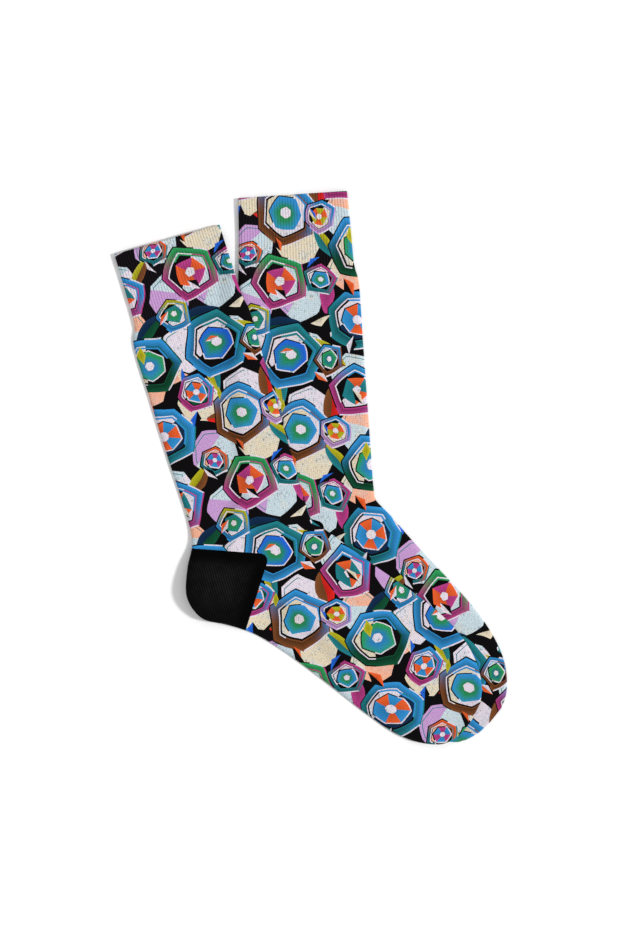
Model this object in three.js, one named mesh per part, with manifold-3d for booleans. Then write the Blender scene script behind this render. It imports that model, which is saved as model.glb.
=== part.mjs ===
// A pair of adult crew socks laid flat, the upper one across the lower one, both toes to the right.
// Millimetres, +Z up, the surface they lie on at z = 0, the origin at the middle of what they cover.
// Each sock is a flattened knitted tube: a ribbed cuff, a body that is the leg and the foot in one,
// closed at the toe, and a dark heel pocket knitted into it.

import * as THREE from "three";
import { mergeVertices } from "three/addons/utils/BufferGeometryUtils.js";
import Module from "manifold-3d";

const wasm = await Module();
wasm.setup();

// Cloth
const WALL = 1.2; // one layer of plain knit
const HEEL_WALL = 1.3; // the heel is knitted denser
const SEAM_GAP = 0.3; // between two pieces that the real sock knits together
const LAYER_GAP = 0.3; // between the lower sock and the upper one
const FOLD_TOP = 4; // how far a folded edge takes to round up to the top panel
const FOLD_UNDER = 2.6; // and down to the underside
const TOE_END_DEPTH = 0.25; // the toe's closed end is this far inside its folded edge
const POINTS_ACROSS = 7; // on the level part of each panel

// Ribs of the cuff, on the panel that faces up
const RIBS_ACROSS = 40;
const RIB_HEIGHT = 0.35;
const CUFF_STEPS = 4;

// Stations along the body, in courses; the toe needs the last ones close together.
const BODY_STEP = 0.5;
const TOE_STEPS = [0.28, 0.1, 0]; // short of the toe's end
const STATION_GAP = 0.027; // SEAM_GAP in courses where the cuff meets the body

// One row for each course across the sock, from the cuff down to the toe, in the sock's own frame:
// x across it from the back of the leg to the front, y down it from the cuff's edge.
// back is the folded edge at calf, heel and sole, front the one at shin, instep and toe,
// thick is the height of the two panels lying on each other.
const COURSES = [
  { name: "cuff edge", back: [-41.0, 0], front: [41.2, 0], thick: 4.0 },
  { name: "cuff middle", back: [-40.7, -28], front: [42.1, -28], thick: 3.4 },
  { name: "cuff end", back: [-41.3, -57], front: [43.1, -57], thick: 3.1 },
  { name: "leg top", back: [-45.0, -66], front: [45.0, -66], thick: 3.0 },
  { name: "calf", back: [-44.9, -112], front: [45.5, -112], thick: 3.0 },
  { name: "shin", back: [-43.9, -160], front: [45.7, -160], thick: 3.0 },
  { name: "ankle", back: [-42.3, -205], front: [45.9, -203], thick: 3.0 },
  { name: "heel top", back: [-43.9, -224], front: [46.1, -222], thick: 3.1 },
  { name: "heel back", back: [-52.2, -240.5], front: [47.0, -231.4], thick: 3.3 },
  { name: "heel corner", back: [-58.4, -262], front: [51.8, -237.9], thick: 3.3 },
  { name: "heel base", back: [-52.0, -279.5], front: [57.3, -244.2], thick: 3.3 },
  { name: "heel sole", back: [-34.5, -290], front: [63.4, -252.2], thick: 3.1 },
  { name: "heel end", back: [-17.5, -302], front: [71.0, -262.2], thick: 3.0 },
  { name: "arch", back: [1.5, -322.5], front: [84.0, -278.5], thick: 3.0 },
  { name: "midfoot", back: [26.3, -354.6], front: [104.4, -303.2], thick: 3.0 },
  { name: "ball", back: [47.8, -384], front: [120.0, -324.8], thick: 3.0 },
  { name: "toe start", back: [63.5, -402], front: [129.0, -341], thick: 3.0 },
  { name: "toe middle", back: [79.5, -412.7], front: [134.6, -356.4], thick: 3.0 },
  { name: "toe round", back: [96.5, -417.1], front: [136.4, -370.8], thick: 3.0 },
  { name: "toe tip", back: [111.2, -412.0], front: [134.9, -384.2], thick: 3.0 },
  { name: "toe end", back: [121.3, -404.3], front: [130.6, -394.1], thick: 3.0 },
];

// The heel pocket, seen from the side, is a wedge that opens backwards from a corner at the ankle.
const HEEL = {
  corner: [9.9, -247.3],
  topAngle: 160, // its upper edge runs this way from the corner, in degrees
  soleAngle: 236.5, // its lower edge
  round: 5.5, // radius of the corner
  reach: 110, // the wedge runs on past the folded edge
  cutHeight: 60, // and through the whole height of the cloth
};

// Where each sock lies: the middle of its cuff's edge and the way that edge runs.
// cuffEase widens the back of the cuff towards its end, toeDrop pulls the toe down the sock,
// heelRise lifts the heel's back off the surface, and heelPuff swells its upper panel.
const SOCKS = [
  { name: "lower", at: [-14.1, 205.2], turn: 3.8, cuffEase: 3.2, toeDrop: 0, heelRise: 0, heelPuff: 0 },
  { name: "upper", at: [-108.2, 171.6], turn: 15.9, cuffEase: 0, toeDrop: 3.6, heelRise: 8, heelPuff: 2 },
];
const HEEL_RISE = { at: [-62, -264], reach: 62 };
const HEEL_PUFF = { at: [-27, -261], reach: 34, from: 1.3, over: 0.6 }; // from and over are heights in the cloth

// How the upper sock comes down beside the lower one.
const DRAPE_MARGIN = 3; // it stays at full height this far past the lower sock's edge
const DRAPE_RUN = 14; // and takes this much more to reach the surface

// Colours of the cloth
const PRINT_COLOUR = 0x7f9fb4;
const CUFF_COLOUR = 0xa9b7c4;
const HEEL_COLOUR = 0x0e0e10;

const smooth = (t) => {
  const x = Math.min(1, Math.max(0, t));
  return x * x * (3 - 2 * x);
};
const station = (name) => COURSES.findIndex((c) => c.name === name);
const LAST = COURSES.length - 1;
const LOWER_HEIGHT = Math.max(...COURSES.slice(station("cuff end")).map((c) => c.thick));

// The two folded edges of a sock as curves through the courses; z carries the thickness.
function edgesOf(sock) {
  const [cuffEnd, ball] = [station("cuff end"), station("ball")];
  const curve = (side) =>
    new THREE.CatmullRomCurve3(
      COURSES.map((c, i) => {
        const ease = side === "back" && i <= cuffEnd ? (sock.cuffEase * i) / cuffEnd : 0;
        const drop = sock.toeDrop * smooth((i - ball) / (LAST - ball));
        return new THREE.Vector3(c[side][0] - ease, c[side][1] - drop, c.thick);
      }),
      false,
      "centripetal",
    );
  return { back: curve("back"), front: curve("front") };
}

// One course: its two ends, its half width, its thickness and how far it is from the closed toe.
function courseAt(edges, s) {
  const back = edges.back.getPoint(s / LAST);
  const front = edges.front.getPoint(s / LAST);
  const middle = back.clone().add(front).multiplyScalar(0.5);
  const toe = edges.back.getPoint(1).add(edges.front.getPoint(1)).multiplyScalar(0.5);
  const half = Math.hypot(front.x - back.x, front.y - back.y) / 2;
  return { back, front, half, thick: middle.z, toToe: Math.hypot(toe.x - middle.x, toe.y - middle.y) };
}

// A folded edge's profile: 0 at the fold, 1 where the panel is level.
const foldProfile = (inside, run) => Math.sqrt(1 - (1 - Math.min(1, Math.max(0, inside) / run)) ** 2);

// Places across a course, from the back fold to the front one, closer together near the folds.
function placesAcross(half, run, count) {
  const nearFold = [0, 0.1, 0.4, 1].map((f) => f * Math.min(run, half / 3));
  const left = nearFold.map((d) => d - half);
  const right = nearFold.map((d) => half - d).reverse();
  const inner = [];
  const start = left[left.length - 1];
  const step = (right[0] - start) / (count + 1);
  for (let i = 1; i <= count; i++) inner.push(start + i * step);
  return [...left, ...inner, ...right];
}

const ribPlaces = (half) => Array.from({ length: 2 * RIBS_ACROSS + 1 }, (_, i) => (i / RIBS_ACROSS - 1) * half);

// A ring of points round one course: the top panel from back to front, then the underside back again.
// inset 0 gives the outside of the cloth, the wall its inside. share is how far round each point is.
function ringAt(edges, s, { inset = 0, ribbed = false }) {
  const course = courseAt(edges, s);
  const half = course.half - inset;
  const toToe = course.toToe + TOE_END_DEPTH - inset;
  const height = course.thick / 2 - inset;
  const along = course.front.clone().sub(course.back).setZ(0).normalize();
  const middle = course.back.clone().add(course.front).multiplyScalar(0.5);
  const point = (place, side, run, extra, share) => {
    const inside = Math.min(half - Math.abs(place), toToe);
    const z = course.thick / 2 + side * height * foldProfile(inside, Math.max(run - inset, 1)) + extra;
    return { x: middle.x + along.x * place, y: middle.y + along.y * place, z, share };
  };
  const plain = placesAcross(half, FOLD_TOP - inset, POINTS_ACROSS);
  const upper = ribbed ? ribPlaces(half) : plain;
  const under = plain.slice(1, -1).reverse();
  return {
    top: upper.map((place, i) =>
      point(place, 1, FOLD_TOP, ribbed && i % 2 ? RIB_HEIGHT : 0, (0.5 * i) / (upper.length - 1)),
    ),
    under: under.map((place, i) => point(place, -1, FOLD_UNDER, 0, 0.5 + (0.5 * (i + 1)) / (under.length + 1))),
  };
}

// Adds a ring's points and keeps their numbers.
function addRing(vertices, ring) {
  const number = (p) => ({ id: vertices.push([p.x, p.y, p.z]) - 1, share: p.share });
  const top = ring.top.map(number);
  const under = ring.under.map(number);
  return { top, under, all: [...top, ...under, { id: top[0].id, share: 1 }] };
}

// Triangles between two rings, whatever their number of points: both are walked round by their shares.
function stitch(faces, a, b, flip) {
  let i = 0;
  let j = 0;
  while (i < a.all.length - 1 || j < b.all.length - 1) {
    const nextA = a.all[i + 1]?.share ?? Infinity;
    const nextB = b.all[j + 1]?.share ?? Infinity;
    const first = a.all[i].id;
    const second = b.all[j].id;
    if (nextA <= nextB) i += 1;
    else j += 1;
    const third = nextA <= nextB ? a.all[i].id : b.all[j].id;
    faces.push(flip ? [first, third, second] : [first, second, third]);
  }
}

// A lid over the tube's closed end: the top panel's points joined to those of the underside.
function closeEnd(faces, ring, flip) {
  const top = ring.top.map((p) => p.id);
  const under = [top[0], ...ring.under.map((p) => p.id).reverse(), top.at(-1)];
  for (let i = 0; i < top.length - 1; i++) {
    const pair = [
      [top[i], under[i], under[i + 1]],
      [top[i], under[i + 1], top[i + 1]],
    ];
    for (const t of pair) {
      if (new Set(t).size === 3) faces.push(flip ? [t[0], t[2], t[1]] : t);
    }
  }
}

// A stretch of tube through the given stations, as a closed wall; closed says that it ends in the toe.
function tube(sock, stations, { wall = WALL, ribbed = false, closed = false } = {}) {
  const edges = edgesOf(sock);
  const vertices = [];
  const faces = [];
  const lined = closed ? stations.slice(0, -1) : stations;
  const outer = stations.map((s) => addRing(vertices, ringAt(edges, s, { ribbed })));
  const inner = lined.map((s) => addRing(vertices, ringAt(edges, s, { inset: wall })));
  for (let i = 1; i < outer.length; i++) stitch(faces, outer[i - 1], outer[i], false);
  for (let i = 1; i < inner.length; i++) stitch(faces, inner[i - 1], inner[i], true);
  stitch(faces, inner[0], outer[0], false);
  if (closed) {
    closeEnd(faces, outer.at(-1), false);
    closeEnd(faces, inner.at(-1), true);
  } else {
    stitch(faces, outer.at(-1), inner.at(-1), false);
  }
  return { vertices, faces };
}

// Even stations from a to b.
function evenly(a, b, step) {
  const steps = Math.max(1, Math.round((b - a) / step));
  return Array.from({ length: steps + 1 }, (_, i) => a + ((b - a) * i) / steps);
}

// The heel's wedge, moved back by shift, as an upright prism.
function heelPrism(shift) {
  const rad = THREE.MathUtils.degToRad;
  const [cx, cy] = HEEL.corner;
  const axis = rad((HEEL.topAngle + HEEL.soleAngle) / 2);
  const open = rad((HEEL.soleAngle - HEEL.topAngle) / 2);
  const apex = [cx + Math.cos(axis) * shift, cy + Math.sin(axis) * shift];
  const toCentre = HEEL.round / Math.sin(open);
  const centre = [apex[0] + Math.cos(axis) * toCentre, apex[1] + Math.sin(axis) * toCentre];
  const away = (angle) => [apex[0] + Math.cos(rad(angle)) * HEEL.reach, apex[1] + Math.sin(rad(angle)) * HEEL.reach];
  const shape = new THREE.Shape();
  shape.moveTo(...away(HEEL.topAngle));
  shape.lineTo(...away(HEEL.soleAngle));
  // The corner's arc, from the lower edge round the front to the upper edge
  shape.absarc(centre[0], centre[1], HEEL.round, rad(HEEL.soleAngle + 90 - 360), rad(HEEL.topAngle - 90), false);
  shape.closePath();
  const prism = new THREE.ExtrudeGeometry(shape, { depth: HEEL.cutHeight, bevelEnabled: false, curveSegments: 5 });
  return prism.translate(0, 0, -HEEL.cutHeight / 3);
}

// three.js geometry to a manifold solid and back.
function solidFrom(geometry) {
  const bare = geometry.clone();
  bare.deleteAttribute("normal");
  bare.deleteAttribute("uv");
  const merged = mergeVertices(bare, 1e-4);
  return new wasm.Manifold(
    new wasm.Mesh({
      numProp: 3,
      vertProperties: merged.attributes.position.array,
      triVerts: new Uint32Array(merged.index.array),
    }),
  );
}
function geometryFrom(solid) {
  const mesh = solid.getMesh();
  const geometry = new THREE.BufferGeometry();
  geometry.setAttribute("position", new THREE.BufferAttribute(mesh.vertProperties, 3));
  geometry.setIndex(new THREE.BufferAttribute(mesh.triVerts, 1));
  return geometry;
}
function meshGeometry({ vertices, faces }) {
  const geometry = new THREE.BufferGeometry();
  geometry.setAttribute("position", new THREE.Float32BufferAttribute(vertices.flat(), 3));
  geometry.setIndex(faces.flat());
  return geometry;
}

// A sock's own frame to the part's.
function placed(sock, x, y) {
  const turn = THREE.MathUtils.degToRad(sock.turn);
  return [
    sock.at[0] + x * Math.cos(turn) - y * Math.sin(turn),
    sock.at[1] + x * Math.sin(turn) + y * Math.cos(turn),
  ];
}

// The outline of a sock in the part's frame.
function outlineOf(sock) {
  const edges = edgesOf(sock);
  const turns = Array.from({ length: 4 * LAST + 1 }, (_, i) => i / (4 * LAST));
  const run = (curve) => turns.map((t) => curve.getPoint(t)).map((p) => placed(sock, p.x, p.y));
  return [...run(edges.back), ...run(edges.front).reverse()];
}

// How far a point is inside an outline; less than nothing outside it.
function insideBy(outline, x, y) {
  let nearest = Infinity;
  let inside = false;
  outline.forEach(([ax, ay], i) => {
    const [bx, by] = outline[(i + 1) % outline.length];
    const [dx, dy] = [bx - ax, by - ay];
    const t = Math.min(1, Math.max(0, ((x - ax) * dx + (y - ay) * dy) / (dx * dx + dy * dy || 1)));
    nearest = Math.min(nearest, Math.hypot(x - ax - t * dx, y - ay - t * dy));
    if (ay > y !== by > y && x < ax + ((y - ay) / dy) * dx) inside = !inside;
  });
  return inside ? nearest : -nearest;
}

// A round bump, 1 at its middle and 0 past its reach.
const bump = (x, y, { at, reach }) => smooth(1 - Math.hypot(x - at[0], y - at[1]) / reach);

// How high the upper sock lies because of the lower one, at a point of the part's frame.
const lowerOutline = outlineOf(SOCKS[0]);
function overLower(x, y) {
  const past = -insideBy(lowerOutline, x, y) - DRAPE_MARGIN;
  return (LOWER_HEIGHT + LAYER_GAP) * smooth(1 - past / DRAPE_RUN);
}

// Lays a sock's geometry, made flat in its own frame, where the sock lies.
function lay(sock, geometry) {
  const position = geometry.attributes.position;
  for (let i = 0; i < position.count; i++) {
    const [x, y, z] = [position.getX(i), position.getY(i), position.getZ(i)];
    const [px, py] = placed(sock, x, y);
    const puff = sock.heelPuff * bump(x, y, HEEL_PUFF) * smooth((z - HEEL_PUFF.from) / HEEL_PUFF.over);
    const over = sock.name === "upper" ? overLower(px, py) : 0;
    const rise = sock.heelRise * bump(x, y, HEEL_RISE);
    position.setXYZ(i, px, py, z + puff + Math.cbrt(over ** 3 + rise ** 3));
  }
  return geometry;
}

// Turns an upright shape made in a sock's own frame to where the sock lies.
function stand(sock, geometry) {
  return geometry.rotateZ(THREE.MathUtils.degToRad(sock.turn)).translate(...sock.at, 0);
}

function node(name, geometry, colour) {
  const material = new THREE.MeshStandardMaterial({ color: colour, roughness: 0.9, metalness: 0 });
  const mesh = new THREE.Mesh(geometry, material);
  mesh.name = name;
  return mesh;
}

function sockGroup(sock) {
  const halfOpen = THREE.MathUtils.degToRad((HEEL.soleAngle - HEEL.topAngle) / 2);
  const shift = SEAM_GAP / 2 / Math.sin(halfOpen);
  const pocket = solidFrom(stand(sock, heelPrism(shift)));
  const cutter = solidFrom(stand(sock, heelPrism(-shift)));
  const laid = (piece) => solidFrom(lay(sock, meshGeometry(piece)));
  const cuffEnd = station("cuff end");
  const start = cuffEnd + STATION_GAP;

  const cuff = tube(sock, evenly(0, cuffEnd, cuffEnd / CUFF_STEPS), { ribbed: true });
  const toeStations = TOE_STEPS.map((short) => LAST - short);
  const body = tube(sock, [...evenly(start, LAST - BODY_STEP, BODY_STEP), ...toeStations], { closed: true });
  const heel = tube(sock, evenly(station("ankle"), station("arch"), BODY_STEP), { wall: HEEL_WALL });

  const group = new THREE.Group();
  group.name = sock.name;
  group.add(node(`${sock.name}_cuff`, geometryFrom(laid(cuff)), CUFF_COLOUR));
  group.add(node(`${sock.name}_body`, geometryFrom(laid(body).subtract(cutter)), PRINT_COLOUR));
  group.add(node(`${sock.name}_heel`, geometryFrom(laid(heel).intersect(pocket)), HEEL_COLOUR));
  return group;
}

const pair = new THREE.Group();
pair.name = "pair_of_socks";
for (const sock of SOCKS) pair.add(sockGroup(sock));
const middle = new THREE.Box3().setFromObject(pair).getCenter(new THREE.Vector3());
pair.position.set(-middle.x, -middle.y, 0);

export default pair;
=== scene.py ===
# A pair of printed crew socks laid flat on a pale surface, seen from straight above.
# Lengths are in millimetres until a mesh is laid, unless a comment says otherwise. Each sock has its
# own frame: x across it from the back of the leg to the front, y down it from the cuff's edge.

import math

import bmesh
import bpy
import numpy as np
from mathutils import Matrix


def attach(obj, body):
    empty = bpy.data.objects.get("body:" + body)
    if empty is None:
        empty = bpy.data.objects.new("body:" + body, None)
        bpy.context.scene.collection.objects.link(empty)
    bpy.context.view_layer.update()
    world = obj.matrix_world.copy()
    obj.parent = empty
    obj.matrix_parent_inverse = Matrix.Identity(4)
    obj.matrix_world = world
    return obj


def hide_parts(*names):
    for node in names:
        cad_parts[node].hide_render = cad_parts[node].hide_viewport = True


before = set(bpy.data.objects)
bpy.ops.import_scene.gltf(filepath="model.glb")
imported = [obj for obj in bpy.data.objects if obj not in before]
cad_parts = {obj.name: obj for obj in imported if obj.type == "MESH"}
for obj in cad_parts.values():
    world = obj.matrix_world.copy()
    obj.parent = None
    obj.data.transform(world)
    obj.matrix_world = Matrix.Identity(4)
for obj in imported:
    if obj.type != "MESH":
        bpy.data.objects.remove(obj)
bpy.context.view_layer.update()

MM = 0.001  # metres

# The socks' form, as in the CAD model: a row for each course across the sock, from cuff to toe
COURSES = [
    # name, back x, back y, front x, front y, thickness
    ("cuff edge", -41.0, 0, 41.2, 0, 4.0),
    ("cuff middle", -40.7, -28, 42.1, -28, 3.4),
    ("cuff end", -41.3, -57, 43.1, -57, 3.1),
    ("leg top", -45.0, -66, 45.0, -66, 3.0),
    ("calf", -44.9, -112, 45.5, -112, 3.0),
    ("shin", -43.9, -160, 45.7, -160, 3.0),
    ("ankle", -42.3, -205, 45.9, -203, 3.0),
    ("heel top", -43.9, -224, 46.1, -222, 3.1),
    ("heel back", -52.2, -240.5, 47.0, -231.4, 3.3),
    ("heel corner", -58.4, -262, 51.8, -237.9, 3.3),
    ("heel base", -52.0, -279.5, 57.3, -244.2, 3.3),
    ("heel sole", -34.5, -290, 63.4, -252.2, 3.1),
    ("heel end", -17.5, -302, 71.0, -262.2, 3.0),
    ("arch", 1.5, -322.5, 84.0, -278.5, 3.0),
    ("midfoot", 26.3, -354.6, 104.4, -303.2, 3.0),
    ("ball", 47.8, -384, 120.0, -324.8, 3.0),
    ("toe start", 63.5, -402, 129.0, -341, 3.0),
    ("toe middle", 79.5, -412.7, 134.6, -356.4, 3.0),
    ("toe round", 96.5, -417.1, 136.4, -370.8, 3.0),
    ("toe tip", 111.2, -412.0, 134.9, -384.2, 3.0),
    ("toe end", 121.3, -404.3, 130.6, -394.1, 3.0),
]
LAST = len(COURSES) - 1
STATION = {row[0]: i for i, row in enumerate(COURSES)}

SOCKS = [
    # name, place of the cuff edge's middle, turn in degrees, how much wider the cuff's end is,
    # how far the toe drops, how far the heel rises and puffs, shift of the print
    ("lower", (-14.1, 205.2), 3.8, 3.2, 0.0, 0.0, 0.0, (24, 126)),
    ("upper", (-108.2, 171.6), 15.9, 0.0, 3.6, 8.0, 2.0, (0, 90)),
]
HEEL_RISE_AT, HEEL_RISE_REACH = (-62, -264), 62
HEEL_PUFF_AT, HEEL_PUFF_REACH = (-27, -261), 34
PUFF_FROM, PUFF_OVER = 1.3, 0.6  # heights in the cloth
LOWER_HEIGHT, LAYER_GAP = 3.3, 0.3
DRAPE_MARGIN, DRAPE_RUN = 3.0, 14.0

# The heel pocket is a wedge that opens backwards
HEEL_CORNER = (9.9, -247.3)
HEEL_TOP_ANGLE, HEEL_SOLE_ANGLE = 160.0, 236.5
HEEL_ROUND = 5.5
HEEL_ARC_STEPS = 8
NEAR_CUT, CUT_OVERLAP = 3, 0.8  # how near an edge a face is that the edge cuts

# Cloth
FOLD_TOP, FOLD_UNDER = 4.0, 2.6  # how far a folded edge takes to round to each panel
FOLD_HEIGHT = 0.33  # how high a folded edge lies, as a share of the thickness
NEAR_FOLD = (0, 0.12, 0.35, 0.7, 1.2, 1.9, 2.8, 4.0)  # places of a mesh's columns beside a fold
COLUMNS = 54  # on the level part of a panel
ROW_STEP, CUFF_ROW_STEP = 1.6, 1.4
TOE_ROWS = (0.2, 0.13, 0.08, 0.04, 0.015)  # in courses, short of the toe's end
CUFF_WALL = 1.1
LIP = 0.3  # how far the cuff's edge rounds past its end
RIBS_ACROSS = 40
RIB_HEIGHT = 0.35
RIB_FADE = 2.5  # the ribs die out in this much of the cuff's end
POINTS_PER_RIB = 6
WALES_ACROSS = 58  # columns of stitches on one panel of plain knit
STITCH_HEIGHT = 1.55
HEEL_STITCH = (1.75, 1.5)
# Painted light on the heel: its middle is lighter, as where its bulge meets the light
HEEL_LIT_AT, HEEL_LIT_REACH = (-32, -255), 34
HEEL_BLACK, HEEL_LIT_GREY = (0.002, 0.002, 0.0022, 1), (0.019, 0.019, 0.02, 1)  # black, and the grey of painted light, linear

# Camera and light
PHOTO_WIDTH, PHOTO_HEIGHT = 621, 931  # pixels
PIXEL = 0.75  # millimetres
PAIR_MIDDLE = (311.25, 469.0)  # pixels, where the socks' common origin is
FOCAL_LENGTH, SENSOR = 85, 36
FILL_STRENGTH, KEY_STRENGTH = 0.66, 2.4
KEY_SPREAD, KEY_TURN = 9, (2, 50)  # degrees
FLOOR_GREY, FLOOR_DEPTH = 0.93, 0.0002  # the depth is in metres, under the socks

# Soft creases in the top panels: start, end, width, height over the cloth and sideways bow
CREASES = {
    "lower": [
        ((46, -206), (24, -219), 3.2, -0.55, 2.0),
        ((47, -214), (20, -229), 3.6, 0.55, 2.5),
        ((50, -228), (29, -238), 3.0, -0.5, -1.5),
        ((20, -70), (14, -160), 9.0, 0.45, 4.0),
        ((-8, -92), (-20, -188), 8.0, -0.4, -5.0),
        ((62, -262), (101, -327), 7.5, 0.5, 5.0),
        ((84, -352), (112, -396), 6.5, -0.4, 4.0),
        ((126, -350), (108, -372), 5.0, 0.35, -2.0),
    ],
    "upper": [
        ((45, -210), (21, -221), 3.4, -0.55, -1.5),
        ((46, -221), (12, -236), 3.4, 0.5, 2.5),
        ((50, -236), (25, -246), 3.0, -0.55, 1.5),
        ((-24, -74), (-14, -150), 9.0, 0.45, -4.0),
        ((16, -104), (26, -190), 8.5, -0.4, 4.0),
        ((-10, -160), (-30, -222), 7.0, 0.4, 4.0),
        ((0, -256), (-30, -274), 3.2, -1.0, 1.5),
        ((-6, -249), (-43, -238), 3.0, -0.55, -1.0),
        ((-36, -284), (-14, -294), 2.4, 0.4, 1.0),
        ((10, -258), (62, -330), 8.0, 0.5, -6.0),
        ((52, -330), (86, -384), 7.0, -0.45, 4.0),
        ((44, -262), (92, -312), 6.5, 0.35, 5.0),
        ((100, -402), (116, -372), 5.0, 0.35, 2.5),
    ],
}

INKS = {
    "black": "#090709",
    "lilac white": "#dbd1dc",
    "pale blue": "#bfcfd6",
    "cream": "#d9ccb2",
    "azure": "#2f86c2",
    "blue": "#2160c8",
    "teal": "#1f757d",
    "dark green": "#0e4a30",
    "green": "#2b8f52",
    "orange": "#dc5a2a",
    "magenta": "#ac3a7c",
    "brown": "#744424",
    "olive": "#aba51c",
    "red": "#d0221c",
    "lilac": "#bd93c6",
    "peach": "#e8a98d",
    "navy": "#0e2a48",
}

# The print is our own chart of gems, pebbles, leaves and diamonds. It repeats down the cloth every
# REPEAT_DOWN, and across it every REPEAT_ACROSS with a half drop.
REPEAT_ACROSS, REPEAT_DOWN, HALF_DROP = 108.0, 162.0, 81.0
LARGE_GEMS = [
    # x, y, size, turn in degrees, sides, how much the heart is cut in facets,
    # inks: band, band 2, field, field 2, heart, heart 2
    (14, 6, 26, 10, 6, 0, "azure", "teal", "lilac white", "black", "green", "blue"),
    (10, 62, 22, 35, 5, 1, "magenta", "green", "black", "pale blue", "orange", "magenta"),
    (18, 112, 24, 20, 6, 0, "brown", "azure", "cream", "lilac white", "green", "azure"),
    (66, 30, 24, 5, 7, 1, "teal", "azure", "lilac white", "navy", "orange", "azure"),
    (70, 84, 24, 50, 6, 0, "dark green", "azure", "cream", "black", "azure", "green"),
    (62, 138, 21, 15, 5, 1, "magenta", "azure", "black", "lilac white", "teal", "orange"),
]
MIDDLE_GEMS = [
    (40, 62, 14, 5, 5, 0, "teal", "magenta", "lilac white", "black", "green", "azure"),
    (44, 110, 13, 20, 6, 1, "lilac", "azure", "black", "cream", "orange", "olive"),
    (44, 2, 13, 40, 5, 0, "brown", "azure", "pale blue", "black", "teal", "green"),
    (98, 56, 15, 0, 6, 1, "magenta", "azure", "lilac white", "dark green", "azure", "orange"),
    (98, 115, 14, 30, 5, 0, "azure", "olive", "black", "lilac white", "green", "teal"),
    (96, 2, 12, 12, 6, 1, "teal", "orange", "peach", "black", "azure", "magenta"),
]
PEBBLE_INKS = ("lilac white", "pale blue", "cream", "lilac white", "lilac", "peach", "pale blue")
LEAF_INKS = ("dark green", "olive", "magenta", "brown", "navy", "olive", "brown", "peach", "red", "teal")
DIAMOND_INKS = ("lilac white", "black", "orange", "olive", "cream", "black", "blue")

# A gem's parts, as shares of the way from its middle to its edge
GEM_TABLE, GEM_HEART, GEM_FIELD, GEM_LINE, GEM_BAND = 0.16, 0.5, 0.64, 0.72, 0.745
GEM_SIDES_BOW = 0.22

# The dye: how much of each unevenness there is, and the painted shade between the ribs
WANDER = 9.0  # how far the motifs' edges stray
CLOUD, RUST, SPECK = 0.45, 0.4, 0.7
SPECK_FROM, SPECK_TO = 0.57, 0.66
VALLEY_SHADE = 0.5  # painted shade: how much darker the valleys between the ribs are


def smooth(t):
    t = np.clip(t, 0, 1)
    return t * t * (3 - 2 * t)


def turned(x, y, degrees):
    c, s = math.cos(math.radians(degrees)), math.sin(math.radians(degrees))
    return x * c - y * s, x * s + y * c


def curve_through(points, stations):
    """A centripetal Catmull-Rom curve through points, at stations counted in points."""
    p = np.asarray(points, float)
    p = np.vstack([2 * p[0] - p[1], p, 2 * p[-1] - p[-2]])
    i = np.clip(np.floor(stations).astype(int), 0, len(points) - 2)
    t = (stations - i)[:, None]
    a, b, c, d = p[i], p[i + 1], p[i + 2], p[i + 3]
    ab, bc, cd = (np.sqrt(np.linalg.norm(v, axis=1, keepdims=True)) for v in (b - a, c - b, d - c))
    leave = ((b - a) / ab - (c - a) / (ab + bc) + (c - b) / bc) * bc
    arrive = ((c - b) / bc - (d - b) / (bc + cd) + (d - c) / cd) * bc
    cubic = 2 * (b - c) + leave + arrive
    return b + t * leave + t**2 * (3 * (c - b) - 2 * leave - arrive) + t**3 * cubic


def distance_to(outline, xy, closed):
    """How far each point is from an outline, and whether it is inside."""
    starts, ends = outline, np.roll(outline, -1, axis=0)
    if not closed:
        starts, ends = starts[:-1], ends[:-1]
    nearest = np.full(len(xy), np.inf)
    inside = np.zeros(len(xy), bool)
    for (ax, ay), (bx, by) in zip(starts, ends):
        dx, dy = bx - ax, by - ay
        px, py = xy[:, 0] - ax, xy[:, 1] - ay
        t = np.clip((px * dx + py * dy) / (dx * dx + dy * dy), 0, 1)
        nearest = np.minimum(nearest, np.hypot(px - t * dx, py - t * dy))
        if ay != by:
            inside ^= ((ay > xy[:, 1]) != (by > xy[:, 1])) & (px < py / dy * dx)
    return nearest, inside


def bump(xy, at, reach):
    return smooth(1 - np.hypot(xy[:, 0] - at[0], xy[:, 1] - at[1]) / reach)


class Sock:
    """One sock's form, and where it lies."""

    def __init__(self, name, at, turn, cuff_ease, toe_drop, heel_rise, heel_puff, print_shift):
        self.name = name
        self.at = np.array(at)
        self.turn = turn
        self.heel_rise = heel_rise
        self.heel_puff = heel_puff
        self.print_shift = np.array(print_shift, float)
        cuff_end, ball = STATION["cuff end"], STATION["ball"]
        self.backs, self.fronts = [], []
        for i, (_, back_x, back_y, front_x, front_y, thick) in enumerate(COURSES):
            ease = cuff_ease * i / cuff_end if i <= cuff_end else 0
            drop = toe_drop * float(smooth((i - ball) / (LAST - ball)))
            self.backs.append((back_x - ease, back_y - drop, thick))
            self.fronts.append((front_x, front_y - drop, thick))
        back, front = self.ends(np.linspace(0, LAST, 6 * LAST + 1))
        self.outline = np.vstack([back[:, :2], front[::-1, :2]])

    def ends(self, stations):
        stations = np.asarray(stations, float)
        return curve_through(self.backs, stations), curve_through(self.fronts, stations)

    def rows(self, start, end, step):
        """Stations no further apart than step at either folded edge, and their places down the sock."""
        fine = np.linspace(start, end, 3000)
        steps = [np.linalg.norm(np.diff(edge[:, :2], axis=0), axis=1) for edge in self.ends(fine)]
        longest = np.concatenate([[0], np.cumsum(np.maximum(*steps))])
        middle = np.concatenate([[0], np.cumsum((steps[0] + steps[1]) / 2)])
        even = np.linspace(0, longest[-1], math.ceil(longest[-1] / step) + 1)
        return np.interp(even, longest, fine), np.interp(even, longest, middle)

    def placed(self, xy):
        x, y = turned(xy[:, 0], xy[:, 1], self.turn)
        return np.column_stack([x, y]) + self.at


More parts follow.
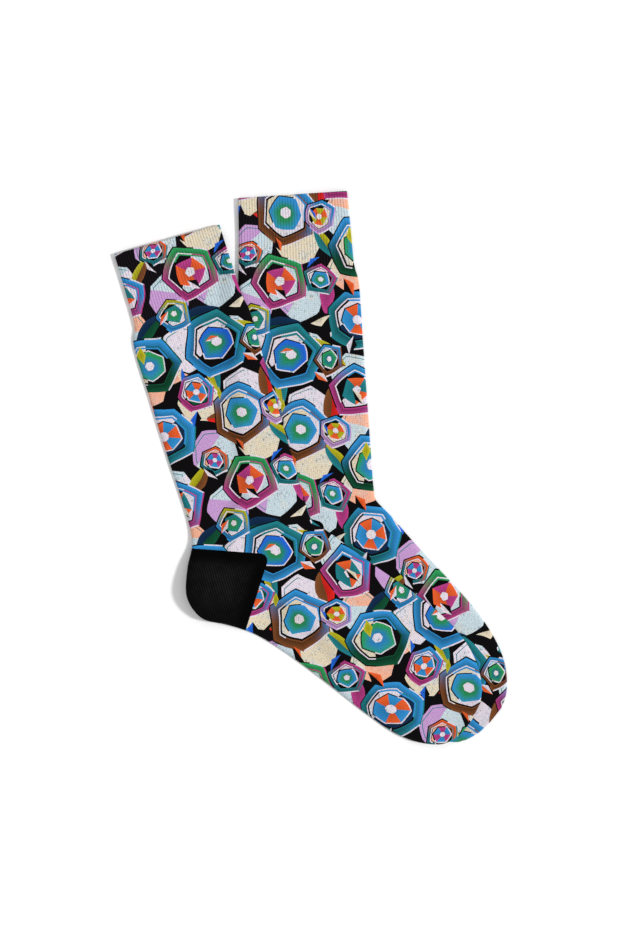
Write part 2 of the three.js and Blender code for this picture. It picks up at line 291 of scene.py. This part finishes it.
def relief(sock, xy):
    """How far the creases lift the cloth at each point."""
    height = np.zeros(len(xy))
    for (x0, y0), (x1, y1), width, rise, bow in CREASES[sock.name]:
        dx, dy = x1 - x0, y1 - y0
        length = math.hypot(dx, dy)
        px, py = xy[:, 0] - x0, xy[:, 1] - y0
        along = np.clip((px * dx + py * dy) / length**2, 0, 1)
        beside = (px * dy - py * dx) / length - bow * 4 * along * (1 - along)
        height += rise * np.sin(np.pi * along) * np.exp(-((beside / width) ** 2))
    return height


def lay(sock, flat):
    """Points of a sock made flat in its own frame, where the sock lies, in metres."""
    xy, z = flat[:, :2], flat[:, 2]
    plan = sock.placed(xy)
    over = np.zeros(len(flat))
    if sock is not lower:
        near, inside = distance_to(lower.placed(lower.outline), plan, closed=True)
        past = np.where(inside, -near, near) - DRAPE_MARGIN
        over = (LOWER_HEIGHT + LAYER_GAP) * smooth(1 - past / DRAPE_RUN)
    rise = sock.heel_rise * bump(xy, HEEL_RISE_AT, HEEL_RISE_REACH)
    puff = sock.heel_puff * bump(xy, HEEL_PUFF_AT, HEEL_PUFF_REACH) + relief(sock, xy)
    height = z + puff * smooth((z - PUFF_FROM) / PUFF_OVER) + np.cbrt(over**3 + rise**3)
    return np.column_stack([plan - middle_of_pair, height]) * MM


def ring_places(half, inset):
    """Places across courses from fold to fold, closer together near the folds."""
    near = np.outer(np.minimum(1, half / 12), NEAR_FOLD)
    level = half - near[:, -1]
    inner = level[:, None] * np.linspace(-1, 1, COLUMNS + 2)[1:-1]
    across = np.hstack([near - half[:, None], inner, (half[:, None] - near)[:, ::-1]])
    return across * (1 - inset / half)[:, None]


def rib_places(half, inset):
    return np.outer(half - inset, np.linspace(-1, 1, RIBS_ACROSS * POINTS_PER_RIB + 1))


def tube(sock, stations, places, inset=0.0, rib_strength=None):
    """Flat points of a tube, as rows by columns by xyz. A row runs round a course: along the top panel
    from the back fold to the front one, then back under it."""
    back, front = sock.ends(stations)
    half = np.linalg.norm((front - back)[:, :2], axis=1) / 2
    across = (front - back)[:, None, :2] / (2 * half[:, None, None])
    middle = (back + front)[:, None, :2] / 2
    thick = back[:, None, 2]
    top = places(half, inset)
    place = np.hstack([top, top[:, -2:0:-1]])
    side = np.ones(place.shape)
    side[:, top.shape[1] :] = -1
    xy = middle + place[..., None] * across
    inside = distance_to(sock.outline, xy.reshape(-1, 2), closed=False)[0].reshape(place.shape) - inset
    run = np.maximum(np.where(side > 0, FOLD_TOP, FOLD_UNDER) - inset, 1)
    rounding = np.sqrt(1 - (1 - np.clip(inside / run, 0, 1)) ** 2)
    fold = thick * FOLD_HEIGHT
    z = fold + side * np.maximum(np.where(side > 0, thick - fold, fold) - inset, 0) * rounding
    if rib_strength is not None:
        out_across = np.roll(z, 1, axis=1) - np.roll(z, -1, axis=1)
        out_up = np.roll(place, -1, axis=1) - np.roll(place, 1, axis=1)
        length = np.maximum(np.hypot(out_across, out_up), 1e-9)
        out_across, out_up = out_across / length, out_up / length
        ribs = np.sqrt(np.abs(np.sin(np.pi * RIBS_ACROSS * (place / half[:, None] + 1) / 2)))
        lift = RIB_HEIGHT * (ribs - (1 - out_up) / 2) * rib_strength[:, None]
        xy = xy + (out_across * lift)[..., None] * across
        z = z + out_up * lift
    return np.concatenate([xy, z[..., None]], axis=-1)


def grid_faces(rows, columns):
    """Quads between the rows of a tube's points, facing out."""
    r, c = np.meshgrid(np.arange(rows - 1), np.arange(columns), indexing="ij")
    beside = (c + 1) % columns
    quads = [r * columns + c, (r + 1) * columns + c, (r + 1) * columns + beside, r * columns + beside]
    return np.stack([q.ravel() for q in quads], axis=1)


def knit_uv(round_tube, down):
    """Each quad's corners in the knit: round_tube runs from 0 to 2 panels, down is a length."""
    u, v = np.append(round_tube, 2.0), down
    upper_v, left_u = np.meshgrid(v[:-1], u[:-1], indexing="ij")
    lower_v, right_u = np.meshgrid(v[1:], u[1:], indexing="ij")
    corners = [left_u, upper_v, left_u, lower_v, right_u, lower_v, right_u, upper_v]
    return np.stack(corners, axis=-1).reshape(-1, 2)


def shares_round(points):
    """How far round a course each column is, in panels from the back fold."""
    row = points[len(points) // 2]
    steps = np.linalg.norm(np.diff(np.vstack([row, row[:1]]), axis=0), axis=1)
    return 2 * np.concatenate([[0], np.cumsum(steps)[:-1]]) / steps.sum()


def new_mesh(name, points, faces):
    mesh = bpy.data.meshes.new(name)
    mesh.from_pydata(points.reshape(-1, 3).tolist(), [], faces.tolist())
    return mesh


def give_uv(mesh, name, uv):
    mesh.uv_layers.new(name=name).uv.foreach_set("vector", np.asarray(uv, np.float32).ravel())


def points_of(mesh):
    flat = np.empty(len(mesh.vertices) * 3)
    mesh.vertices.foreach_get("co", flat)
    return flat.reshape(-1, 3)


def pocket_edges():
    """The straight edges that bound the heel pocket, as outward normals, and the corner's centre."""
    axis = math.radians(HEEL_SOLE_ANGLE + HEEL_TOP_ANGLE) / 2
    half_open = math.radians(HEEL_SOLE_ANGLE - HEEL_TOP_ANGLE) / 2
    reach = HEEL_ROUND / math.sin(half_open)
    centre = np.array(HEEL_CORNER) + reach * np.array([math.cos(axis), math.sin(axis)])
    angles = np.radians(np.linspace(HEEL_SOLE_ANGLE - 270, HEEL_TOP_ANGLE - 90, HEEL_ARC_STEPS + 1))
    return np.column_stack([np.cos(angles), np.sin(angles)]), centre


def past_pocket(xy):
    """How far points are past each of the pocket's edges."""
    normals, centre = pocket_edges()
    return (xy - centre) @ normals.T - HEEL_ROUND


def cut_along_pocket(bm):
    """Cuts the faces that the pocket's edges cross."""
    normals, centre = pocket_edges()
    for k, normal in enumerate(normals):
        faces = list(bm.faces)
        past = past_pocket(np.array([f.calc_center_median().xy for f in faces]))
        crossed = (np.abs(past[:, k]) < NEAR_CUT) & (past[:, k] > past.max(axis=1) - CUT_OVERLAP)
        chosen = [face for face, is_crossed in zip(faces, crossed) if is_crossed]
        parts = set(chosen) | {e for f in chosen for e in f.edges} | {v for f in chosen for v in f.verts}
        at = centre + normal * HEEL_ROUND
        bmesh.ops.bisect_plane(bm, geom=list(parts), dist=1e-3, plane_co=(*at, 0), plane_no=(*normal, 0))


def plain_knit(sock):
    """The plain knit from cuff to toe, as two meshes of flat points: the body and the heel pocket."""
    stations, down = sock.rows(STATION["cuff end"], LAST, ROW_STEP)
    closer = np.sort(np.concatenate([stations, LAST - np.array(TOE_ROWS)]))
    down = np.interp(closer, stations, down)
    points = tube(sock, closer, ring_places)
    mesh = new_mesh(f"{sock.name}_plain", points, grid_faces(*points.shape[:2]))
    stitches = np.array([WALES_ACROSS, 1 / STITCH_HEIGHT])
    give_uv(mesh, "knit", knit_uv(shares_round(points), down) * stitches)
    whole = bmesh.new()
    whole.from_mesh(mesh)
    bmesh.ops.remove_doubles(whole, verts=whole.verts, dist=1e-4)
    cut_along_pocket(whole)
    meshes = []
    for in_pocket in (False, True):
        part = whole.copy()
        faces = list(part.faces)
        inside = past_pocket(np.array([f.calc_center_median().xy for f in faces])).max(axis=1) < 0
        unwanted = [face for face, is_inside in zip(faces, inside) if is_inside != in_pocket]
        bmesh.ops.delete(part, geom=unwanted, context="FACES")
        meshes.append(bpy.data.meshes.new(sock.name))
        part.to_mesh(meshes[-1])
        part.free()
    whole.free()
    return meshes


def ribbed_cuff(sock):
    """The ribbed band, as a wall with a rounded lip."""
    stations, down = sock.rows(0, STATION["cuff end"], CUFF_ROW_STEP)
    strength = smooth((down[-1] - down) / RIB_FADE)
    outer = tube(sock, stations, rib_places, rib_strength=strength)
    inner = tube(sock, stations, rib_places, inset=CUFF_WALL)
    lip = (outer[:1] + inner[:1]) / 2
    scallops = np.abs(np.sin(np.pi * RIBS_ACROSS * np.arange(lip.shape[1]) * 2 / lip.shape[1]))
    lip[0, :, 1] += LIP * (0.4 + 0.6 * scallops)
    # The wall runs up the inside, over the lip, down the outside and back to where it began.
    points = np.concatenate([inner[::-1], lip, outer])
    rows, columns = points.shape[:2]
    faces = grid_faces(rows + 1, columns) % (rows * columns)
    down = np.concatenate([down[::-1], [0], down, down[-1:]])
    mesh = new_mesh(f"{sock.name}_cuff", points, faces)
    round_tube = 2 * np.arange(columns) / columns
    give_uv(mesh, "knit", knit_uv(round_tube, down) * np.array([2 * RIBS_ACROSS, 1 / STITCH_HEIGHT]))
    return mesh


def scattered(columns, rows, jitter, seed):
    """Places on the repeat in offset columns, each a little off its place."""
    own = np.random.default_rng(seed)
    step = np.array([REPEAT_ACROSS / columns, REPEAT_DOWN / rows])
    places = [(c * step[0], (r + 0.5 * (c % 2)) * step[1]) for c in range(columns) for r in range(rows)]
    return np.array(places) + own.uniform(-jitter, jitter, (len(places), 2)), own


def pebbles():
    places, own = scattered(3, 4, 0.8, 11)
    motifs = []
    for i, place in enumerate(places + [26, 8]):
        inks = PEBBLE_INKS[i % 7], PEBBLE_INKS[(i * 3 + 1) % 7]
        motifs.append((*place, own.uniform(16.4, 17.6), own.uniform(0, 90), own.integers(6, 9), 0, *inks))
    return motifs


def leaves():
    places, own = scattered(3, 4, 2.5, 23)
    motifs = []
    for i, place in enumerate(places + [8, 28]):
        inks = LEAF_INKS[(i * 3) % 10], LEAF_INKS[(i * 7 + 4) % 10]
        motifs.append((*place, own.uniform(13, 16), own.uniform(0, 180), own.uniform(0.3, 0.42), 1.5, *inks))
    return motifs


def diamonds():
    places, own = scattered(4, 4, 3, 31)
    motifs = []
    for i, place in enumerate(places + [9, 12]):
        inks = DIAMOND_INKS[i % 7], DIAMOND_INKS[(i * 5 + 2) % 7]
        motifs.append((*place, own.uniform(4, 7.5), own.uniform(0, 180), own.uniform(0.35, 0.7), 1.0, *inks))
    return motifs


LAYERS = {
    # name: motifs, how many inks each has
    "pebble": (pebbles(), 2),
    "leaf": (leaves(), 2),
    "large gem": (LARGE_GEMS, 6),
    "middle gem": (MIDDLE_GEMS, 6),
    "diamond": (diamonds(), 2),
}


def ink(name):
    """A named ink as linear red, green, blue and alpha."""
    values = [int(INKS[name][i : i + 2], 16) / 255 for i in (1, 3, 5)]
    return (*[v / 12.92 if v <= 0.04045 else ((v + 0.055) / 1.055) ** 2.4 for v in values], 1.0)


def away_in_repeat(away):
    """Steps between places in the print, brought to the nearest repeat."""
    tile = np.round(away[..., 0] / REPEAT_ACROSS)
    x = away[..., 0] - tile * REPEAT_ACROSS
    y = away[..., 1] - tile * HALF_DROP
    return np.stack([x, y - np.round(y / REPEAT_DOWN) * REPEAT_DOWN], axis=-1)


def chart_motifs(mesh, sock):
    """Gives each face the motif of every layer that it lies nearest to: the motif's form and inks to the
    face, and to its corners their places in the motif."""
    corner = np.empty(len(mesh.loops), int)
    mesh.loops.foreach_get("vertex_index", corner)
    corners = np.empty(len(mesh.polygons), int)
    mesh.polygons.foreach_get("loop_total", corners)
    face_of = np.repeat(np.arange(len(corners)), corners)
    xy = points_of(mesh)[corner, :2] + sock.print_shift
    centre = np.column_stack([np.bincount(face_of, xy[:, k]) / corners for k in (0, 1)])
    give_uv(mesh, "plan", xy)
    for name, (motifs, ink_count) in LAYERS.items():
        form = np.array([motif[:6] for motif in motifs], float)
        away = away_in_repeat(centre[:, None] - form[:, :2])
        chosen = (np.linalg.norm(away, axis=-1) - form[:, 2]).argmin(axis=1)
        origin = centre - away[np.arange(len(centre)), chosen]
        local = xy - origin[face_of]
        turn = -np.radians(form[chosen, 3])[face_of]
        x = local[:, 0] * np.cos(turn) - local[:, 1] * np.sin(turn)
        y = local[:, 0] * np.sin(turn) + local[:, 1] * np.cos(turn)
        give_uv(mesh, name, np.column_stack([x, y]))
        attribute = mesh.attributes.new(f"{name} form", "FLOAT_VECTOR", "FACE")
        attribute.data.foreach_set("vector", form[chosen][:, [2, 4, 5]].astype(np.float32).ravel())
        for k in range(ink_count):
            inks = np.array([ink(motif[6 + k]) for motif in motifs], np.float32)
            attribute = mesh.attributes.new(f"{name} ink {k + 1}", "FLOAT_COLOR", "FACE")
            attribute.data.foreach_set("color", inks[chosen].ravel())


class Value:
    """A number that shader nodes work out, so that a formula can be written as one."""

    def __init__(self, nodes, socket):
        self.nodes = nodes
        self.socket = socket

    def __add__(self, other):
        return self.nodes.math("ADD", self, other)

    def __sub__(self, other):
        return self.nodes.math("SUBTRACT", self, other)

    def __rsub__(self, other):
        return self.nodes.math("SUBTRACT", other, self)

    def __mul__(self, other):
        return self.nodes.math("MULTIPLY", self, other)

    def __truediv__(self, other):
        return self.nodes.math("DIVIDE", self, other)

    def __rtruediv__(self, other):
        return self.nodes.math("DIVIDE", other, self)

    def __mod__(self, other):
        return self.nodes.math("FLOORED_MODULO", self, other)

    def __pow__(self, other):
        return self.nodes.math("POWER", self, other)

    def __abs__(self):
        return self.nodes.math("ABSOLUTE", self)

    def __lt__(self, other):
        return self.nodes.math("LESS_THAN", self, other)

    def __gt__(self, other):
        return self.nodes.math("GREATER_THAN", self, other)

    __radd__ = __add__
    __rmul__ = __mul__


class Nodes:
    """Adds nodes to a new material, each fed by sockets or plain values."""

    def __init__(self, name):
        self.material = bpy.data.materials.new(name)
        self.material.use_nodes = True
        self.tree = self.material.node_tree
        self.shader = self.tree.nodes["Principled BSDF"]

    def feed(self, socket, value):
        if isinstance(value, Value):
            value = value.socket
        if isinstance(value, bpy.types.NodeSocket):
            self.tree.links.new(value, socket)
        elif value is not None:
            socket.default_value = value

    def add(self, kind, *inputs, out=0, **settings):
        node = self.tree.nodes.new(kind)
        for key, value in settings.items():
            setattr(node, key, value)
        for socket, value in zip(node.inputs, inputs):
            self.feed(socket, value)
        return node.outputs[out]

    def math(self, operation, *inputs):
        return Value(self, self.add("ShaderNodeMath", *inputs, operation=operation))

    def vector(self, operation, *inputs):
        return self.add("ShaderNodeVectorMath", *inputs, operation=operation)

    def scale(self, vector, factor):
        return self.vector("SCALE", vector, None, None, factor)

    def mix(self, share, first, second):
        return self.add("ShaderNodeMixRGB", share, first, second)

    def attribute(self, name, out="Vector"):
        return self.add("ShaderNodeAttribute", attribute_name=name, out=out)

    def split(self, vector):
        node = self.tree.nodes.new("ShaderNodeSeparateXYZ")
        self.feed(node.inputs[0], vector)
        return [Value(self, socket) for socket in node.outputs]

    def ramp(self, value, low, high):
        """0 under low, 1 over high and smooth between them."""
        kind = "ShaderNodeMapRange"
        return Value(self, self.add(kind, value, low, high, 0.0, 1.0, interpolation_type="SMOOTHSTEP"))

    def noise(self, place, scale, detail=2.0, rough=0.5, out=0):
        node = self.tree.nodes.new("ShaderNodeTexNoise")
        values = {"Vector": place, "Scale": scale, "Detail": detail, "Roughness": rough}
        for name, value in values.items():
            self.feed(node.inputs[name], value)
        return Value(self, node.outputs[out])

    def near(self, value, target, reach):
        """1 where value is within reach of target."""
        return self.math("COMPARE", value, target, reach)


def polygon(n, x, y, sides, turn):
    """How far a point is from a polygon's middle, square to the side that it faces, with the side's number.
    turn is in sides. The sides bow out a little."""
    radius = n.math("SQRT", x * x + y * y)
    wedge = 2 * math.pi / sides
    place = n.math("ARCTAN2", y, x) / wedge + turn
    number = n.math("FLOOR", place)
    square = radius * n.math("COSINE", (place - number - 0.5) * wedge)
    corner = radius * n.math("COSINE", wedge / 2)
    return square * (1 - GEM_SIDES_BOW) + corner * GEM_SIDES_BOW, number


def motif_place(n, layer, drift):
    """Where a point is in the layer's motif that it belongs to, with that motif's form."""
    x, y, _ = n.split(n.vector("ADD", n.attribute(layer), drift))
    return x, y, *n.split(n.attribute(f"{layer} form"))


def motif_ink(n, layer, number):
    return n.attribute(f"{layer} ink {number}", "Color")


def gem(n, layer, drift):
    """A cut gem: a rim, a watery band, fine lines, a field and a turned heart. Its inks change across
    a line."""
    x, y, size, sides, facets = motif_place(n, layer, drift)
    outer, side = polygon(n, x, y, sides, 0.0)
    turned_heart, facet = polygon(n, x, y, sides, 0.5)
    reach = size * n.math("COSINE", math.pi / sides)
    share, heart = outer / reach, turned_heart / reach
    white, black = ink("lilac white"), ink("black")
    millimetre = 1.0 / reach
    one_side = (x * 0.45 - y * 0.9 + size * 0.12) > 0.0
    slope = (x * 0.9 + y * 0.5) / size
    other_side = slope > 0.2

    colour = n.mix(one_side, motif_ink(n, layer, 3), motif_ink(n, layer, 4))
    colour = n.scale(colour, share * 0.55 + 0.62)
    colour = n.mix(heart < millimetre * 0.8 + GEM_HEART, colour, n.mix(one_side, black, white))
    fade = n.ramp(heart + slope * 0.2, 0.15, 0.5)
    blend = n.math("MAXIMUM", facet % 2.0 * facets, fade * (1 - facets))
    cut = n.mix(blend, motif_ink(n, layer, 5), motif_ink(n, layer, 6))
    colour = n.mix(heart < GEM_HEART, colour, n.scale(cut, heart * 0.9 + 0.6))
    colour = n.mix(share < GEM_TABLE, colour, n.mix(other_side, white, black))
    colour = n.mix(share > GEM_FIELD, colour, n.mix(other_side, black, motif_ink(n, layer, 2)))
    line = n.near(share, GEM_LINE, millimetre * 0.4)
    colour = n.mix(line, colour, n.mix(one_side, white, motif_ink(n, layer, 1)))
    band = n.mix(n.ramp(slope, -0.5, 0.6), motif_ink(n, layer, 1), motif_ink(n, layer, 2))
    shade = n.ramp(share, 0.74, 1.0) * 0.52 + slope * 0.14 + 0.58
    colour = n.mix(share > GEM_BAND, colour, n.scale(band, shade))
    rim = n.mix(one_side, black, n.mix(side % 2.0, white, motif_ink(n, layer, 1)))
    colour = n.mix(share > 1 - millimetre * 0.9, colour, rim)
    return colour, share < 1.0


def pebble(n, layer, drift):
    """A plain polygon in two pale inks, with a fine line near its edge."""
    x, y, size, sides, _ = motif_place(n, layer, drift)
    outer, _ = polygon(n, x, y, sides, 0.0)
    share = outer / (size * n.math("COSINE", math.pi / sides))
    one_side = (x * 0.4 + y - size * 0.25) > 0.0
    colour = n.mix(one_side, motif_ink(n, layer, 1), motif_ink(n, layer, 2))
    line = n.near(share, 0.86, 0.3 / size)
    colour = n.mix(line * one_side, colour, ink("teal"))
    return colour, share < 1.0


def oval(n, layer, drift):
    """A leaf, or a diamond where its power is 1, in two inks along its length."""
    x, y, size, slim, power = motif_place(n, layer, drift)
    total = abs(x / size) ** power + abs(y / (size * slim)) ** power
    colour = n.mix(y > 0.0, motif_ink(n, layer, 1), motif_ink(n, layer, 2))
    return n.scale(colour, total * 0.4 + 0.7), total < 1.0


def print_colour(n, plan):
    """The print: layers of motifs on black, dyed a little unevenly."""
    wander = n.noise(plan, 0.03, 1.0, 0.4, out="Color")
    drift = n.scale(n.vector("SUBTRACT", wander, (0.5, 0.5, 0.5)), WANDER)
    colour = ink("black")
    painters = {"pebble": pebble, "leaf": oval, "large gem": gem, "middle gem": gem, "diamond": oval}
    for layer, painter in painters.items():
        motif, mask = painter(n, layer, drift)
        colour = n.mix(mask, colour, motif)

    # Weathered dye: clouds of paler blue, fine cracks and specks where it is light, and grain everywhere
    pale = n.ramp(Value(n, n.add("ShaderNodeRGBToBW", colour)), 0.3, 0.6)
    cloud = n.ramp(n.noise(plan, 0.09, 3, 0.6), 0.45, 0.7)
    colour = n.mix(cloud * pale * CLOUD, colour, ink("pale blue"))
    rust = n.ramp(n.noise(n.vector("ADD", plan, (40.0, 90.0, 0.0)), 0.07, 3, 0.65), 0.5, 0.72)
    colour = n.mix(rust * pale * RUST, colour, ink("cream"))
    speck = n.noise(n.vector("MULTIPLY", plan, (1.0, 0.5, 1.0)), 0.75, 4, 0.8)
    speck = n.ramp(speck + cloud * 0.05, SPECK_FROM, SPECK_TO)
    colour = n.mix(speck * pale * SPECK, colour, ink("navy"))
    grain = n.noise(plan, 0.9, 4, 0.8) * 1.1 + 0.45
    tint = n.vector("ADD", n.scale(n.noise(plan, 1.0, 2, 0.6, out="Color"), 0.3), (0.85, 0.85, 0.85))
    return n.vector("MULTIPLY", n.scale(colour, grain), tint)


def stitches(n, u, v):
    """The height of the knit, 0 to 1, in columns of V stitches one unit wide."""
    x = n.math("FRACT", u)
    legs = abs(n.math("SINE", x * (2 * math.pi))) ** 0.6
    legs = n.math("MAXIMUM", legs, n.math("SINE", x * math.pi) * 0.7)
    slant = abs(x * 2.0 - 1.0) * -0.4
    loop = n.math("SINE", n.math("FRACT", v + slant) * math.pi)
    return legs * (loop * 0.6 + 0.4)


def finish(n, colour, height, depth, gap_shade, top_shade, specular):
    """Shades the stitches from their gaps to their tops, raises them and sets how the cloth shines."""
    n.feed(n.shader.inputs["Base Color"], n.scale(colour, height * (top_shade - gap_shade) + gap_shade))
    n.feed(n.shader.inputs["Roughness"], 0.96 - height * 0.16)
    n.shader.inputs["Specular IOR Level"].default_value = specular
    n.shader.inputs["Sheen Weight"].default_value = 0.02
    n.shader.inputs["Sheen Roughness"].default_value = 0.45
    bumped = n.tree.nodes.new("ShaderNodeBump")
    bumped.inputs["Distance"].default_value = depth * MM
    bumped.inputs["Strength"].default_value = 0.8
    n.feed(bumped.inputs["Height"], height)
    n.feed(n.shader.inputs["Normal"], bumped.outputs["Normal"])
    return n.material


def printed_knit():
    n = Nodes("printed knit")
    u, v, _ = n.split(n.attribute("knit"))
    colour = print_colour(n, n.attribute("plan"))
    height = stitches(n, u, v)
    return finish(n, colour, height, depth=0.25, gap_shade=0.68, top_shade=1.16, specular=0.05)


def printed_rib():
    """The print on ribs, with painted shade that darkens the valleys between them and tints them a little
    lilac.
    """
    n = Nodes("printed rib")
    u, v, _ = n.split(n.attribute("knit"))
    valley = n.ramp(abs(n.math("FRACT", u / 2 + 0.5) - 0.5), 0.17, 0.04)
    colour = print_colour(n, n.attribute("plan"))
    # Painted shade in the valleys between the ribs
    valley_shade = n.scale(n.mix(0.08, colour, ink("lilac")), 1 - VALLEY_SHADE)
    colour = n.mix(valley * VALLEY_SHADE, colour, valley_shade)
    height = stitches(n, u + 0.5, v)
    return finish(n, colour, height, depth=0.14, gap_shade=0.85, top_shade=1.1, specular=0.05)


def heel_knit():
    """Dense black knit with painted light: greyer in patches on the heel's middle, and darker towards its
    edges as painted shade.
    """
    n = Nodes("heel knit")
    plan = n.attribute("plan")
    x, y, _ = n.split(n.vector("DIVIDE", plan, (*HEEL_STITCH, 1.0)))
    column = n.math("FLOOR", x) % 2.0
    across = n.math("SINE", n.math("FRACT", x) * math.pi)
    down = n.math("SINE", n.math("FRACT", y + column / 2) * math.pi)
    loops = across * down
    # Painted light on the heel's middle, fading to painted shade at its edges
    painted_light = Value(n, n.attribute("painted_light", "Fac"))
    patchy = n.ramp(n.noise(plan, 0.12, 3, 0.6), 0.3, 0.7) * 0.5 + 0.5
    colour = n.mix(painted_light * patchy, HEEL_BLACK, HEEL_LIT_GREY)
    return finish(n, colour, loops**1.5, depth=0.3, gap_shade=0.15, top_shade=1.0, specular=0.03)


def add_piece(name, mesh, sock, material, node):
    """Lays a mesh of flat points, as the piece that stands for a CAD node."""
    mesh.vertices.foreach_set("co", lay(sock, points_of(mesh)).ravel())
    mesh.polygons.foreach_set("use_smooth", np.ones(len(mesh.polygons), bool))
    mesh.update()
    mesh.materials.append(material)
    piece = bpy.data.objects.new(name, mesh)
    bpy.context.scene.collection.objects.link(piece)
    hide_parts(node)
    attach(piece, "root")
    return piece


def add_sock(sock, plain, rib, black):
    body, heel = plain_knit(sock)
    cuff = ribbed_cuff(sock)
    for mesh in (body, cuff):
        chart_motifs(mesh, sock)
    xy = points_of(heel)[:, :2]
    # Painted light: greyer in the heel's middle, fading to painted shade from 12 to 4 mm inside the pocket's
    # edges
    off_edge = smooth((-past_pocket(xy).max(axis=1) - 4) / 8)
    painted_light = off_edge * (0.25 + 0.75 * bump(xy, HEEL_LIT_AT, HEEL_LIT_REACH))
    heel.attributes.new("painted_light", "FLOAT", "POINT").data.foreach_set("value", painted_light.astype(np.float32))
    corner = np.empty(len(heel.loops), int)
    heel.loops.foreach_get("vertex_index", corner)
    give_uv(heel, "plan", xy[corner])

    body = add_piece(f"{sock.name}_body_knit", body, sock, plain, f"{sock.name}_body")
    heel = add_piece(f"{sock.name}_heel_knit", heel, sock, black, f"{sock.name}_heel")
    cuff = add_piece(f"{sock.name}_cuff_rib", cuff, sock, rib, f"{sock.name}_cuff")


def camera():
    """Straight above, as in the photograph."""
    data = bpy.data.cameras.new("camera")
    data.lens = FOCAL_LENGTH
    data.sensor_width = SENSOR
    distance = PHOTO_HEIGHT * PIXEL * data.lens / data.sensor_width
    x = (PHOTO_WIDTH / 2 - PAIR_MIDDLE[0]) * PIXEL - middle_of_pair[0]
    y = (PAIR_MIDDLE[1] - PHOTO_HEIGHT / 2) * PIXEL - middle_of_pair[1]
    eye = bpy.data.objects.new("camera", data)
    eye.location = (x * MM, y * MM, distance * MM)
    bpy.context.scene.collection.objects.link(eye)
    bpy.context.scene.camera = eye


def light():
    """A key light from the right and an even white fill."""
    world = bpy.data.worlds.new("studio")
    bpy.context.scene.world = world
    world.use_nodes = True
    background = world.node_tree.nodes["Background"]
    background.inputs["Color"].default_value = (1, 1, 1, 1)
    background.inputs["Strength"].default_value = FILL_STRENGTH
    key = bpy.data.lights.new("key", "SUN")
    key.energy = KEY_STRENGTH
    key.angle = math.radians(KEY_SPREAD)
    sun = bpy.data.objects.new("key", key)
    sun.rotation_euler = (math.radians(KEY_TURN[0]), math.radians(KEY_TURN[1]), 0)
    bpy.context.scene.collection.objects.link(sun)


def floor():
    bpy.ops.mesh.primitive_plane_add(size=6, location=(0, 0, -FLOOR_DEPTH))
    plane = bpy.context.object
    plane.name = "floor"
    n = Nodes("floor")
    n.shader.inputs["Base Color"].default_value = (FLOOR_GREY, FLOOR_GREY, FLOOR_GREY, 1)
    n.shader.inputs["Roughness"].default_value = 0.9
    n.shader.inputs["Specular IOR Level"].default_value = 0.1
    plane.data.materials.append(n.material)


socks = [Sock(*row) for row in SOCKS]
lower = socks[0]
covered = np.vstack([sock.placed(sock.outline) for sock in socks])
middle_of_pair = (covered.min(axis=0) + covered.max(axis=0)) / 2

bpy.context.scene.view_settings.view_transform = "Standard"
camera()
light()
floor()
plain, rib, black = printed_knit(), printed_rib(), heel_knit()
for sock in socks:
    add_sock(sock, plain, rib, black)
